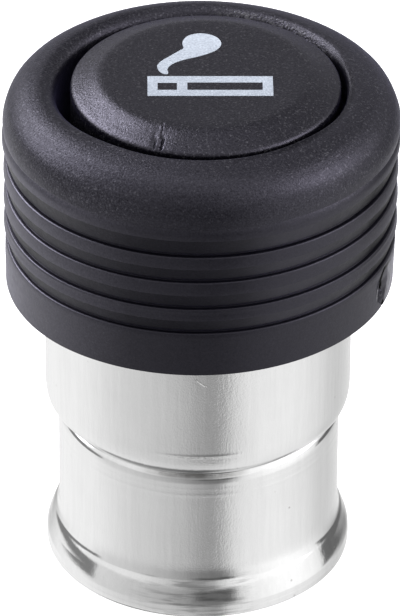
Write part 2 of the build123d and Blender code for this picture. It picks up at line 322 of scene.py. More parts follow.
        # painted highlight along the left edge of the tear
        edge = k.math("ABSOLUTE", k.math("SUBTRACT", x, k.math("ADD", k.remap(z, 0.0228, 0.0235, 0.01191, 0.01195), k.remap(z, 0.0235, 0.0243, 0.0, 0.00020))))
        edge = k.math("MULTIPLY", k.remap(edge, 0.00005, 0.00002), k.math("MULTIPLY", k.remap(z, 0.0226, 0.0229), k.remap(z, 0.0245, 0.0242)))
        gate_highlight = k.math("MULTIPLY", k.math("MAXIMUM", gate_highlight, edge), k.remap(k.noise(3200, 2.0, 0.6, k.stretch((1, 1, 0.2))), 0.35, 0.62, 0.45, 1.0))
        col = k.mixc(k.math("MULTIPLY", gate_highlight, gate), col, (0.16, 0.16, 0.165))
        # painted shade: the tear and the slit lose their gloss and go black
        shine = k.math("MULTIPLY", shine, k.remap(gate_shade, 0, 1, 1.0, 0.02))
        col = k.mixc(gate_shade, col, (0.0008, 0.0008, 0.001))
        k.put(k.b.inputs["Sheen Weight"], k.remap(k.math("MAXIMUM", painted_shade, gate_shade), 0, 1, 0.085, 0.0))
    k.set(Base_Color=col, Roughness=rough, Normal=n2)
    k.b.inputs["Specular Tint"].default_value = (0.85, 0.82, 1.0, 1.0)
    if not ring:
        # painted shade: the button's side wall in the gap gets no sheen, only the top does
        k.put(k.b.inputs["Sheen Weight"], k.remap(z, 0.0356, 0.0361, 0.0, 0.06))
        # painted highlight: gloss level raised 1.42 times on the left of the button's bevel
        left_bevel_highlight = k.math("MULTIPLY", k.remap(z, 0.03703, 0.03694), k.remap(x, -0.0026, -0.0048))
        shine = k.math("MULTIPLY", shine, k.remap(left_bevel_highlight, 0, 1, 1.0, 1.42))
    k.b.inputs["Sheen Roughness"].default_value = 0.35
    k.b.inputs["Sheen Tint"].default_value = (0.50, 0.45, 1.0, 1.0)
    k.put(k.b.inputs["Specular IOR Level"], shine)
    return k.m


def satin_steel():
    k = Mat("satin_steel")
    up = k.stretch((1.0, 1.0, 0.06))             # streaks along the axis
    ring = k.stretch((0.05, 0.05, 1.0))          # turned lines round the axis
    s1 = k.noise(2600, 3.0, 0.6, up)
    s2 = k.noise(7000, 2.0, 0.5, ring)
    cloud = k.noise(190, 3.0, 0.55)
    fine = k.noise(8000, 3.0, 0.65)
    mott = k.noise(900, 3.0, 0.6)
    tone = k.math("MULTIPLY_ADD", s1, 0.4, k.math("MULTIPLY_ADD", cloud, 0.4, k.math("MULTIPLY", fine, 0.2)))
    col = k.mixc(k.remap(tone, 0.36, 0.64), (0.745, 0.745, 0.745), (0.815, 0.815, 0.815))
    # small pits, a few of them dark
    pit = k.cells(1500, "Distance")
    pc = k.cells(1500, "Color")
    sep = k.node("ShaderNodeSeparateColor"); k.put(sep.inputs[0], pc)
    pits = k.math("MULTIPLY", k.remap(pit, 0.16, 0.05), k.remap(sep.outputs[1], 0.93, 0.96))
    col = k.mixc(k.math("MULTIPLY", pits, 0.6), col, (0.30, 0.29, 0.28))
    rough = k.remap(tone, 0.35, 0.65, 0.07, 0.12)
    x, y, z = k.xyz()
    rad = k.math("SQRT", k.math("ADD", k.math("MULTIPLY", x, x), k.math("MULTIPLY", y, y)))
    # painted shade: base colour darkened towards 0.30 in the groove under the shoulder, on the front only
    groove_shade = k.math("MULTIPLY", k.remap(rad, 0.00961, 0.00948), k.math("MULTIPLY", k.remap(z, 0.01068, 0.0109), k.remap(z, 0.0118, 0.0116)))
    groove_shade = k.math("MULTIPLY", groove_shade, k.remap(k.noise(700, 2.0, 0.5), 0.30, 0.62, 0.35, 1.0))
    groove_shade = k.math("MULTIPLY", groove_shade, k.math("MULTIPLY", k.remap(x, -0.0042, -0.0024), k.remap(x, 0.0036, 0.0022)))
    col = k.mixc(groove_shade, col, (0.30, 0.295, 0.29))
    # darker lines round the bottom of the flare, on the front only
    lines = k.math("MULTIPLY", k.remap(k.noise(3800, 2.0, 0.6, k.stretch((0.10, 0.10, 1.0))), 0.48, 0.66), k.remap(z, 0.0030, 0.0026))
    lines = k.math("MULTIPLY", lines, k.math("MULTIPLY", k.remap(x, -0.0050, -0.0015), k.remap(x, 0.0042, 0.0026)))
    col = k.mixc(k.math("MULTIPLY", lines, 0.75), col, (0.36, 0.36, 0.36))
    wall = k.math("ADD", k.math("MULTIPLY", k.remap(z, 0.0031, 0.0036), k.remap(z, 0.0104, 0.0100)), k.remap(z, 0.0124, 0.0128))
    n1 = k.bump(s1, 0.022, 0.000010)
    n1 = k.bump(mott, 0.30, 0.000030, n1)
    n1 = k.bump(k.noise(5200, 2.0, 0.6, k.stretch((1.0, 1.0, 0.14))), 0.60, 0.000010, n1)
    k.nt.links.new(k.remap(wall, 0, 1, 0.2, 0.6), n1.node.inputs["Strength"])
    n2 = k.bump(s2, 0.10, 0.000006, n1)
    n3 = k.bump(fine, 0.90, 0.000014, n2)
    k.nt.links.new(k.remap(wall, 0, 1, 0.15, 0.9), n3.node.inputs["Strength"])
    n4 = k.bump(k.math("MULTIPLY", pits, -1.0), 0.35, 0.000015, n3)
    # short scratch on the front of the upper wall
    along = k.math("ABSOLUTE", k.math("SUBTRACT", k.math("MULTIPLY_ADD", x, 0.84, z), 0.01927))
    nick = k.math("MULTIPLY", k.remap(along, 0.00009, 0.00003), k.math("MULTIPLY", k.remap(x, -0.0003, -0.0001), k.remap(x, 0.00055, 0.00040)))
    nick = k.math("MULTIPLY", nick, k.remap(y, -0.0098, -0.0101))
    n4 = k.bump(k.math("MULTIPLY", nick, -1.0), 0.8, 0.00003, n4)
    k.set(Base_Color=col, Roughness=rough, Normal=n4)
    k.b.inputs["Metallic"].default_value = 1.0
    return k.m


def metal(name, lo, hi, r0, r1, scale=3000, bump=0.15, tint=None):
    k = Mat(name)
    a = k.noise(scale, 3.0, 0.6)
    c = k.noise(scale * 0.09, 2.0, 0.5)
    t = k.math("MULTIPLY_ADD", a, 0.5, k.math("MULTIPLY", c, 0.5))
    col = k.mixc(k.remap(t, 0.36, 0.64), lo, hi)
    if tint is not None:
        col = k.mixc(k.remap(k.noise(420, 2.0, 0.5), 0.45, 0.7), col, tint)
    k.set(Base_Color=col, Roughness=k.remap(t, 0.35, 0.65, r0, r1), Normal=k.bump(a, bump, 0.000008))
    k.b.inputs["Metallic"].default_value = 1.0
    return k.m


def mica():
    k = Mat("mica")
    fl = k.cells(1400, "Color", vec=k.stretch((1, 1, 0.2)))
    sep = k.node("ShaderNodeSeparateColor"); k.put(sep.inputs[0], fl)
    a = k.noise(5200, 3.0, 0.6)
    t = k.math("MULTIPLY_ADD", sep.outputs[0], 0.5, k.math("MULTIPLY", a, 0.5))
    col = k.mixc(t, (0.30, 0.22, 0.13), (0.60, 0.51, 0.37))
    k.set(Base_Color=col, Roughness=k.remap(sep.outputs[1], 0, 1, 0.22, 0.5), Normal=k.bump(t, 0.25, 0.00002))
    return k.m


def fibre():
    k = Mat("red_fibre")
    a = k.noise(4200, 4.0, 0.65, k.stretch((1, 0.25, 1)))
    k.set(Base_Color=k.mixc(a, (0.20, 0.035, 0.02), (0.40, 0.10, 0.06)), Roughness=k.remap(a, 0.3, 0.7, 0.6, 0.8),
          Normal=k.bump(a, 0.3, 0.00002))
    return k.m


def ceramic():
    k = Mat("ceramic")
    a = k.noise(5200, 3.0, 0.6)
    k.set(Base_Color=k.mixc(a, (0.72, 0.69, 0.62), (0.86, 0.84, 0.79)), Roughness=k.remap(a, 0.3, 0.7, 0.45, 0.65),
          Normal=k.bump(a, 0.2, 0.00001))
    return k.m


def white_ink():
    k = Mat("white_ink")
    a = k.noise(7500, 3.0, 0.6)
    b = k.noise(1500, 2.0, 0.5)
    # painted shade: the print's base colour is darker towards the front (-Y) and lighter towards the back
    t = k.math("MULTIPLY_ADD", a, 0.8, k.math("MULTIPLY_ADD", b, 0.2, k.remap(k.xyz()[1], -0.003, 0.006, -0.10, 0.03)))
    k.set(Base_Color=k.mixc(k.remap(t, 0.34, 0.66), (0.330, 0.368, 0.419), (0.583, 0.643, 0.709)),
          Roughness=k.remap(t, 0.3, 0.7, 0.45, 0.6), Normal=k.bump(a, 0.2, 0.000006))
    return k.m


M_BLACK = black_plastic("black_plastic", 0.32, 0.44, 0.000026, True)
M_BUTTON = black_plastic("black_plastic_button", 0.25, 0.34, 0.000028, False)
M_STEEL = satin_steel()
M_PLATE = metal("plated_steel", (0.52, 0.51, 0.48), (0.66, 0.65, 0.61), 0.24, 0.38)
M_SPRING = metal("spring_steel", (0.32, 0.32, 0.34), (0.46, 0.46, 0.48), 0.22, 0.34)
M_BRASS = metal("brass", (0.62, 0.44, 0.17), (0.78, 0.60, 0.29), 0.2, 0.34)
M_COIL = metal("heater_ribbon", (0.17, 0.16, 0.155), (0.33, 0.31, 0.29), 0.3, 0.5, 3600, 0.3, (0.24, 0.18, 0.17))
M_MICA, M_FIBRE, M_CERAMIC, M_INK = mica(), fibre(), ceramic(), white_ink()

SLOT_MAT = {"black_plastic": M_BLACK, "satin_steel": M_STEEL, "plated_steel": M_PLATE, "spring_steel": M_SPRING, "brass": M_BRASS,
            "red_fibre": M_FIBRE, "mica": M_MICA, "ceramic": M_CERAMIC, "heater_ribbon": M_COIL}
for sp in frame["record"]["subparts"]:
    ob = frame["nodes"][sp["node"]]
    for s in ob.material_slots:
        s.material = SLOT_MAT[sp["material_slot"]]


# ------------------------------------------------------------------ grip ring
KNOB_Z = 21.59
LEDGE_Z = (24.93, 26.83, 28.91, 30.86)
LAND_Z = (26.03, 28.00, 30.03, 32.25)


def ring_outline(edge):
    """Ring's section; edge is the rounding from the dome's top into the bore."""
    c = [(10.50, KNOB_Z, 0.03), (13.05, KNOB_Z, 0.10)]
    c += [(13.05 + 0.10 * (z - 21.75) / 2.85, z, 0.0) for z in np.arange(21.75, 24.62, 0.07)]
    c.append((13.12, LEDGE_Z[0], 0.13))
    for i in range(4):
        c += [(12.80 if i < 3 else 12.75, LEDGE_Z[i] + 0.03, 0.03), (12.985, LEDGE_Z[i] + 0.23, 0.05)]
        if i < 3:
            c += [(13.25, LAND_Z[i], 0.09), (13.235, LAND_Z[i] + 0.34, 0.0)]
            if i == 0:
                c += [(13.165, LEDGE_Z[1] - 0.21, 0.0), (13.175, LEDGE_Z[1] - 0.17, 0.0), (13.145, LEDGE_Z[1] - 0.12, 0.0)]      # mould parting line
            c.append((13.12, LEDGE_Z[i + 1], 0.13))
        else:
            c += [(13.34, LAND_Z[i], 0.12), (13.335, LAND_Z[i] + 0.28, 0.0), (13.30, 32.80, 0.0), (13.13, 33.10, 0.008), (13.24, 33.135, 0.012), (13.235, 33.22, 0.0)]
    dome = spline([(13.228, 33.32), (13.195, 33.72), (13.10, 34.16), (12.85, 34.81), (12.43, 35.335), (12.15, 35.565), (11.90, 35.745), (11.65, 35.885), (11.40, 35.99),
                   (11.10, 36.09)] + edge, 4)
    c += [(r, z, 0.0) for r, z in dome]
    c += [(9.74, 28.0, 0.05), (10.25, 28.0, 0.05), (10.25, 25.55, 0.0)]
    c += [(r, z, 0.0) for r, z in arc3((10.25, 25.55), (10.53, 25.0), (10.25, 24.45), 6)[1:]]
    c += [(10.25, KNOB_Z + 0.20, 0.02), (10.50, KNOB_Z + 0.20, 0.02)]
    return rounded(c)


ring_line = ring_outline([(10.70, 36.20), (10.30, 36.29), (9.98, 36.355), (9.86, 36.365), (9.785, 36.325), (9.75, 36.24), (9.74, 36.10), (9.74, 35.60)])
ring_right = np.array(ring_outline([(10.72, 36.18), (10.36, 36.215), (10.12, 36.205), (9.98, 36.16), (9.88, 36.07), (9.81, 35.93), (9.765, 35.74), (9.74, 35.40)]))
ring_worn = np.array(ring_outline([(10.72, 36.165), (10.44, 36.155), (10.24, 36.10), (10.07, 35.99), (9.93, 35.84), (9.82, 35.65), (9.76, 35.47), (9.74, 35.30)]))
ring_soft = np.array(ring_outline([(10.75, 36.15), (10.45, 36.10), (10.22, 36.00), (10.05, 35.89), (9.92, 35.76), (9.82, 35.60), (9.76, 35.42), (9.74, 35.25)]))

# the moulding is not quite round or level: dome's extra radius and the rim's drop, against degrees from -Y towards +X
DOME_W = ([0, 60, 80, 95, 115, 130, 150, 165, 180, 195, 210, 230, 250, 265, 280, 300, 320, 360],
          [0, 0, 0.09, 0.17, 0.20, 0.14, 0.04, -0.04, -0.08, -0.07, -0.03, 0.05, 0.09, 0.09, 0.05, 0.02, 0, 0])
SAG = ([-180, -150, -130, -110, -90, -70, -57, -45, -31, -16, 0, 13, 22, 40, 65, 90, 130, 180], [0, 0, 0.10, 0.20, 0.30, 0.33, 0.33, 0.28, 0.19, 0.12, 0.07, 0.03, 0, -0.05, -0.06, -0.04, 0, 0])
GATE_L = ([22.0, 22.4, 23.1, 23.66, 24.27, 24.8], [68.5, 66.7, 65.7, 65.3, 65.9, 69.5])
GATE_R = ([22.0, 22.6, 23.4, 24.2, 24.8], [73.5, 77.0, 79.0, 78.5, 75.0])
GATE_D = ([21.80, 22.2, 22.7, 23.3, 24.0, 24.5, 24.8], [0.0, 0.10, 0.34, 0.46, 0.36, 0.15, 0.0])


def ring_shape(A, R, Z):
    # the bore's edge is rounder on the right, broken off at the back right and sloped at the back left
    deg = np.degrees(A) % 360
    ease = lambda v, a, b: (lambda t: t * t * (3 - 2 * t))(np.clip((v - a) / (b - a), 0, 1))
    R0, Z0 = R, Z
    for line, w in ((ring_right, ease(deg, 40, 75) * (1 - ease(deg, 98, 122))), (ring_worn, ease(deg, 98, 122) * (1 - ease(deg, 150, 188))),
                    (ring_soft, ease(deg, 150, 188) * (1 - ease(deg, 275, 330)))):
        R = R + w * (line[None, :, 0] - R0)
        Z = Z + w * (line[None, :, 1] - Z0)
    R = R + np.interp(deg, *DOME_W) * ease(Z, 33.0, 33.5) * ease(R, 10.8, 12.2)
    side = lambda c: np.exp(-(((deg - c) / 42) ** 2))
    R = R + (side(90) * 0.07 + side(270) * np.interp(Z, [21.5, 22.3, 23.6, 25, 26.9, 28.5, 30, 33], [0.13, 0.10, 0.08, 0.01, 0.04, 0.03, 0.03, 0.02])) * (1 - ease(Z, 33.4, 35.0)) * ease(R, 12.3, 12.7)
    Z = Z - np.interp(np.degrees(A), *SAG) * np.interp(Z, [21, 29, 30.9, 32.2, 33.1, 34.5], [1, 1, 0.55, 0.28, 0.2, 0]) * ease(R, 10.8, 12.0)
    # moulding gate torn out of the skirt: steep on the left, floor rising to the right
    skirt = (R > 12.3) & (Z < 24.80)
    d = np.degrees(A)
    al, ar, dep = np.interp(Z, *GATE_L), np.interp(Z, *GATE_R), np.interp(Z, *GATE_D)
    s = (d - al) / np.maximum(ar - al, 0.4)
    wall = np.clip((d - al) / 0.25, 0, 1)
    cut = dep * wall * np.clip(1 - s, 0, 1) ** 0.8
    mm = 13.1 * np.radians(d - 70.0)
    cut = cut - 0.20 * np.exp(-((mm / 0.16) ** 2 + ((Z - 22.75) / 0.20) ** 2)) * (s > 0) * (s < 1)
    slit = 0.12 * np.exp(-((13.1 * np.radians(d - 69.7) / 0.07) ** 2)) * (1 - ease(Z, 21.70, 22.05))
    lip = 0.06 * np.exp(-((13.1 * np.radians(d - al + 0.35) / 0.055) ** 2)) * ease(Z, 22.2, 22.7) * (1 - ease(Z, 24.0, 24.4))
    near = skirt & (np.abs(d - 72) < 10)
    R = np.where(near, R - np.maximum(cut, 0) - slit + lip, R)
    return R, Z


grip = lathe("grip_ring_moulding", ring_line, turn_angles(2.0, [(72.0, 9.5, 0.12)]), ring_shape)
grip.data.materials.append(M_BLACK)
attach(grip, "housing"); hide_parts("grip_ring")

# ------------------------------------------------------------------ button
BX, BTOP, BR = 0.31, 37.06, 9.06
SCAR = math.radians(-19.55)
top = [(0.0, BTOP), (1.5, BTOP), (3.0, BTOP), (4.5, BTOP), (5.6, BTOP), (6.25, BTOP), (6.55, BTOP - 0.003)]
bev = spline([(6.55, BTOP - 0.003), (6.85, BTOP - 0.018), (7.10, BTOP - 0.055), (7.40, BTOP - 0.145), (7.90, BTOP - 0.340), (8.40, BTOP - 0.538),
              (8.75, BTOP - 0.678), (8.91, BTOP - 0.760), (9.01, BTOP - 0.870), (BR, BTOP - 1.03), (BR, BTOP - 1.35)], 5)
btn = top + bev[1:] + [(BR, 34.6), (BR, 33.0), (BR, 31.3), (BR - 0.1, 31.2), (BR - 1.15, 31.2), (BR - 1.25, 31.3), (BR - 1.25, 35.4), (BR - 1.4, 35.56)]
nb = len(btn)
btn += [(4.35, 35.56), (4.2, 35.4), (4.2, 30.7), (4.1, 30.6), (2.95, 30.6), (2.91, 30.7), (2.91, 35.2), (0.0, 35.2)]
cxs = [BX] * nb + [0.0] * 7 + [0.0]


# strokes of the broken gate on the bevel: (depth or height, half width, points (along the rim, down the bevel))
STROKES = [(-0.20, 0.060, [(-0.55, 0.10), (-0.535, 0.205), (-0.442, 0.867), (-0.43, 0.98)]),
           (0.11, 0.085, [(-0.33, 0.02), (-0.36, 0.40), (-0.27, 0.86)]),
           (-0.30, 0.085, [(-0.20, -0.22), (-0.183, -0.167), (-0.065, 0.092), (-0.011, 0.639), (0.02, 0.95)]),
           (-0.13, 0.045, [(-0.50, -1.20), (-0.414, -0.725), (-0.302, -0.218), (-0.20, -0.10)]),
           (0.030, 0.060, [(-0.60, -1.05), (-0.52, -0.725), (-0.41, -0.25)]),
           (-0.045, 0.130, [(-0.72, -0.30), (-0.66, 0.30), (-0.58, 0.90)])]


def button_shape(A, R, Z):
    outer = (Z > 35.6) & (R > 5.0)
    s = R * (A - SCAR)                     # along the rim, mm
    t = R - 8.05                           # down the bevel, mm
    wob = 0.018 * np.sin(17 * t + 0.6) + 0.012 * np.sin(37 * t + 9 * s)
    h = np.zeros_like(R)
    for amp, wide, line in STROKES:
        ss, tt = [p[0] for p in line], [p[1] for p in line]
        ends = np.clip((t - tt[0]) / 0.14, 0, 1) * np.clip((tt[-1] - t) / 0.14, 0, 1)
        h += amp * np.exp(-((s - np.interp(t, tt, ss) - wob) / wide) ** 2) * ends
    plate = np.clip((s - 0.04 - wob) / 0.05, 0, 1) * np.clip((0.86 + 0.10 * t - s + wob) / 0.05, 0, 1) * np.clip((t + 1.02 - 0.15 * s) / 0.12, 0, 1)
    h += plate * (0.012 + 0.075 * (s - 0.04))
    h += 0.008 * np.sin(23 * s + 3 * t) * np.sin(19 * t - 2 * s) * np.exp(-((s - 0.15) / 0.6) ** 2) * np.clip((t + 1.2) / 0.2, 0, 1)
    return R, np.where(outer, Z + h * 0.75 * (np.abs(A - SCAR) < 0.6), Z)


button = lathe("button_moulding", btn, turn_angles(2.0, [(-19.5, 9.5, 0.20)]), button_shape, cxs, closed=False)
button.data.materials.append(M_BUTTON)
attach(button, "plunger"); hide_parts("button")

# ------------------------------------------------------------------ printed symbol on the button
ROT = math.radians(0.8)


def flat_print(name, loops, z0, z1):
    """Thin flat shape: the first loop is the outline, the rest are windows."""
    bm = bmesh.new()
    edges = []
    for lp in loops:
        vs = [bm.verts.new((x * MM, y * MM, z1 * MM)) for x, y in lp]
        edges += [bm.edges.new((vs[i], vs[(i + 1) % len(vs)])) for i in range(len(vs))]
    bmesh.ops.triangle_fill(bm, use_beauty=True, use_dissolve=False, edges=edges, normal=(0, 0, 1))
    faces = list(bm.faces)
    for f in faces:
        if f.normal.z < 0:
            f.normal_flip()
    ext = bmesh.ops.extrude_face_region(bm, geom=faces)
    low = [g for g in ext["geom"] if isinstance(g, bmesh.types.BMVert)]
    bmesh.ops.translate(bm, verts=low, vec=(0, 0, (z0 - z1) * MM))
    bmesh.ops.recalc_face_normals(bm, faces=bm.faces)
    me = bpy.data.meshes.new(name)
    bm.to_mesh(me); bm.free()
    ob = bpy.data.objects.new(name, me)
    scene.collection.objects.link(ob)
    return ob


def box_loop(x0, x1, y0, y1, rc=0.05, c=(0.61, -1.57)):
    pts = []
    for (px, py, a0) in ((x1, y1, 0), (x0, y1, 90), (x0, y0, 180), (x1, y0, 270)):
        sx, sy = (1 if a0 in (0, 270) else -1), (1 if a0 in (0, 90) else -1)
        for k in range(5):
            a = math.radians(a0 + 22.5 * k)
            pts.append((px - sx * rc + rc * math.cos(a), py - sy * rc + rc * math.sin(a)))
    return [(c[0] + (x - c[0]) * math.cos(ROT) - (y - c[1]) * math.sin(ROT),
             c[1] + (x - c[0]) * math.sin(ROT) + (y - c[1]) * math.cos(ROT)) for x, y in pts]


bar = flat_print("symbol_bar", [box_loop(-3.57, 4.79, -2.83, -0.31), box_loop(-2.90, -1.61, -2.07, -1.17, 0.03),
                                box_loop(-0.92, 4.10, -2.07, -1.12, 0.03)], BTOP - 0.004, BTOP + 0.012)
smoke_pts = [(0.02, 5.26), (0.73, 5.02), (1.18, 4.53), (1.32, 4.03), (1.26, 3.55), (0.99, 3.08), (0.48, 2.64), (-0.29, 2.19), (-1.06, 1.85),
             (-1.57, 1.54), (-1.95, 1.21), (-2.17, 0.86), (-2.27, 0.49), (-2.21, 0.12), (-2.26, -0.07), (-2.49, -0.07), (-2.74, 0.17),
             (-2.91, 0.60), (-2.95, 0.97), (-2.82, 1.35), (-2.53, 1.79), (-2.03, 2.35), (-1.58, 2.86), (-1.20, 3.33), (-1.26, 3.68),
             (-1.28, 4.05), (-1.17, 4.49), (-0.95, 4.87), (-0.56, 5.15)]
loop = spline(smoke_pts[-2:] + smoke_pts + smoke_pts[:2], 4)
loop = loop[8:8 + 4 * len(smoke_pts)]
smoke = flat_print("symbol_smoke", [loop], BTOP - 0.004, BTOP + 0.012)
for ob in (bar, smoke):
    ob.data.materials.append(M_INK)
    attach(ob, "plunger")

# ------------------------------------------------------------------ sleeve
# outward lean of the wall, degrees, against height: straight end, crease, cone, cove
FLARE = ([0.42, 0.50, 0.90, 1.05, 1.30, 1.60, 1.90, 2.10, 2.25, 2.38, 2.48, 2.58, 2.68, 2.80, 2.95, 3.15, 3.45, 3.75, 4.00],
         [0, 0, 2.8, 12.5, 16.5, 19.5, 22.5, 25.0, 28.5, 33.5, 33.0, 26.5, 19.5, 14.0, 10.5, 7.5, 4.2, 1.6, 0])
sl = [(9.96, 0.0), (10.34, 0.0)] + arc3((10.34, 0.0), (10.385, 0.020), (10.402, 0.07), 4)[1:]
sl += [(10.410, 0.15), (10.416, 0.25), (10.419, 0.34)]
fz = np.arange(0.42, 4.001, 0.04)
fr = 10.42 - np.concatenate([[0], np.cumsum(np.tan(np.radians(np.interp(fz[:-1] + 0.02, *FLARE))) * 0.04)])
fr = 10.42 - (10.42 - fr) * 0.80 / (10.42 - fr[-1])
sl += list(zip(fr, fz))
sl += [(9.62, z) for z in np.arange(4.4, 8.9, 0.5)] + [(9.62, z) for z in np.arange(8.9, 10.30, 0.05)]
sl += spline([(9.62, 10.30), (9.618, 10.42), (9.605, 10.56), (9.583, 10.70), (9.535, 10.83), (9.465, 10.96), (9.375, 11.08), (9.355, 11.16), (9.365, 11.26), (9.42, 11.40),
              (9.60, 11.60), (9.76, 11.715), (9.90, 11.80), (10.02, 11.868), (10.12, 11.94), (10.22, 12.06), (10.30, 12.24), (10.352, 12.48), (10.383, 12.78), (10.398, 13.08), (10.40, 13.26)], 4)
sl += [(10.40, z) for z in np.arange(13.30, 14.0, 0.04)] + [(10.40, z) for z in (14.2, 15.2, 16.4, 17.6, 18.8, 20.0, 21.0, 21.4)]
sl += [(10.40, 21.49), (10.31, 21.76), (10.28, 21.79), (10.2, 21.79), (10.2, 22.2), (10.2, 24.5)]
sl += arc3((10.2, 24.55), (10.42, 25.0), (10.2, 25.45), 6)
sl += [(10.2, 25.5), (10.2, 27.96), (10.16, 28.0), (9.74, 28.0), (9.70, 27.96), (9.70, 25.45)]
sl += arc3((9.70, 25.4), (9.86, 25.0), (9.70, 24.6), 6)
sl += [(9.70, 24.5), (9.70, 21.49), (9.90, 21.09), (9.90, 12.50), (9.86, 12.45), (9.47, 12.45), (9.42, 12.42)]
sl += [(8.94, 11.40), (8.90, 11.25), (8.90, 11.00), (8.94, 10.85), (9.08, 10.50), (9.12, 10.35)]
sl += [(9.12, 9.0), (9.12, 7.0), (9.12, 5.0), (9.12, 3.5)]
sl += arc3((9.12, 3.30), (9.19, 2.62), (9.34, 2.10), 6)
sl += arc3((9.34, 2.10), (9.73, 1.36), (9.96, 0.70), 8)[1:]
sl += [(9.96, 0.62), (9.96, 0.06)]


def sleeve_shape(A, R, Z):
    out = (R > 9.5) & (Z < 21.4) & (Z > 0.12)
    g = lambda c, w: np.exp(-((Z - c) / w) ** 2)
    d = 0.010 * g(0.44, 0.09) + 0.010 * g(9.50, 0.13) + 0.005 * g(10.0, 0.10) + 0.005 * g(8.75, 0.14)
    d += 0.029 * g(13.21, 0.11) * np.exp(-((np.degrees(A) - 1) / 15) ** 4)
    d += 0.004 * np.sin(3 * A + 2.0) * g(1.6, 0.7)
    low = 0.28 * np.exp(-(A / 0.62) ** 4) * np.exp(-((Z - 12.0) / 0.35) ** 2) * (R > 9.6)
    deg = np.degrees(A) % 360
    side = lambda c: np.exp(-(((deg - c) / 50) ** 2))
    up = np.clip((Z - 11.7) / 0.6, 0, 1)
    d += up * (0.12 * side(270) - 0.035 * side(90)) + 0.05 * side(290) * (1 - np.clip((Z - 0.9) / 0.8, 0, 1)) - 0.06 * side(90) * g(1.9, 0.6)
    return np.where(out, R + d, R), Z - low


sleeve = lathe("sleeve_drawn", sl, turn_angles(1.5), sleeve_shape)
sleeve.data.materials.append(M_STEEL)
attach(sleeve, "housing"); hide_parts("sleeve")

# ------------------------------------------------------------------ return spring, closed at both ends
def wire_coil(name, mean_r, wire_r, z0, z1, turns, dead, per_turn=48, sides=12):
    n = int(per_turn * (turns + 2 * dead))
    t = np.linspace(0, turns + 2 * dead, n + 1)
    u = np.clip((t - dead) / turns, 0, 1)
    lead = 2 * wire_r * 0.98
    lo, hi = z0 + wire_r, z1 - wire_r
    zc = np.where(t < dead, lo + lead * t / max(dead, 1e-6) * dead, np.where(t > dead + turns, hi - lead * (turns + 2 * dead - t), 0))
    zm = lo + lead * dead + (hi - lo - 2 * lead * dead) * u
    zc = np.where((t >= dead) & (t <= dead + turns), zm, zc)
    a = 2 * math.pi * t
    c = np.stack([mean_r * np.cos(a), mean_r * np.sin(a), zc], -1)
    tan = np.gradient(c, axis=0); tan /= np.linalg.norm(tan, axis=1, keepdims=True)
    rad = np.stack([np.cos(a), np.sin(a), np.zeros_like(a)], -1)
    up = np.cross(tan, rad)
    ph = np.linspace(0, 2 * math.pi, sides, endpoint=False)
    ringp = c[:, None, :] + wire_r * (np.cos(ph)[None, :, None] * rad[:, None, :] + np.sin(ph)[None, :, None] * up[:, None, :])
    verts = (ringp.reshape(-1, 3) * MM).tolist()
    faces = [(i * sides + j, i * sides + (j + 1) % sides, (i + 1) * sides + (j + 1) % sides, (i + 1) * sides + j)
             for i in range(n) for j in range(sides)]
    faces += [tuple(range(sides))[::-1], tuple(n * sides + j for j in range(sides))]
    me = bpy.data.meshes.new(name)
    me.from_pydata(verts, [], faces)
    bm = bmesh.new(); bm.from_mesh(me)
    bmesh.ops.recalc_face_normals(bm, faces=bm.faces)
    for f in bm.faces:
        f.smooth = len(f.verts) == 4
    bm.to_mesh(me); bm.free()
    ob = bpy.data.objects.new(name, me)
    scene.collection.objects.link(ob)
    return ob


SPRING_Z0, SPRING_Z1, STROKE = 13.07, 27.28, 5.5
spring = wire_coil("return_spring_coil", 6.0, 0.40, SPRING_Z0, SPRING_Z1, 6.0, 1.0)
spring.data.materials.append(M_SPRING)
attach(spring, "housing"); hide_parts("return_spring")
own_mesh(spring)

# ------------------------------------------------------------------ camera
EL, DIST, FPX = math.radians(32.96), 494.1, 7250.2
tgt = Vector((0.035, 0.0, 18.43)) * MM
back = Vector((0.0, -math.cos(EL), math.sin(EL)))
cam_d = bpy.data.cameras.new("camera")
cam_d.sensor_width = 36.0
cam_d.lens = FPX / 616 * 36.0
cam_d.clip_start, cam_d.clip_end = 0.01, 10.0
cam = bpy.data.objects.new("camera", cam_d)
scene.collection.objects.link(cam)
rot = (-back).to_track_quat("-Z", "Y").to_matrix().to_4x4()
cam.matrix_world = Matrix.Translation(tgt + back * DIST * MM) @ rot @ Matrix.Rotation(0.0075, 4, "Z")
scene.camera = cam

# ------------------------------------------------------------------ floor
fl_me = bpy.data.meshes.new("floor")
fl_me.from_pydata([(-1, -1, 0), (1, -1, 0), (1, 1, 0), (-1, 1, 0)], [], [(0, 1, 2, 3)])
floor = bpy.data.objects.new("floor", fl_me)
scene.collection.objects.link(floor)
kf = Mat("floor")
kf.set(Base_Color=kf.mixc(kf.noise(40, 2.0), (0.93, 0.93, 0.93), (0.95, 0.95, 0.95)))
kf.b.inputs["Roughness"].default_value = 0.9
kf.b.inputs["Specular IOR Level"].default_value = 0.0
kf.b.inputs["Emission Color"].default_value = (1, 1, 1, 1)
kf.b.inputs["Emission Strength"].default_value = 0.5
floor.data.materials.append(kf.m)
floor.visible_glossy = False

# ------------------------------------------------------------------ light: a white tent, open towards the camera
world = bpy.data.worlds.new("studio")
scene.world = world
world.use_nodes = True
nt = world.node_tree
nt.nodes.clear()


def wn(kind, **kw):
    n = nt.nodes.new(kind)
    for k, v in kw.items():
        setattr(n, k, v)
    return n


def wmath(op, a, b=None):
    n = wn("ShaderNodeMath", operation=op)
    for i, v in enumerate((a, b)):
        if v is None:
            continue
        if isinstance(v, (int, float)):
            n.inputs[i].default_value = v
        else:
            nt.links.new(v, n.inputs[i])
    return n.outputs[0]


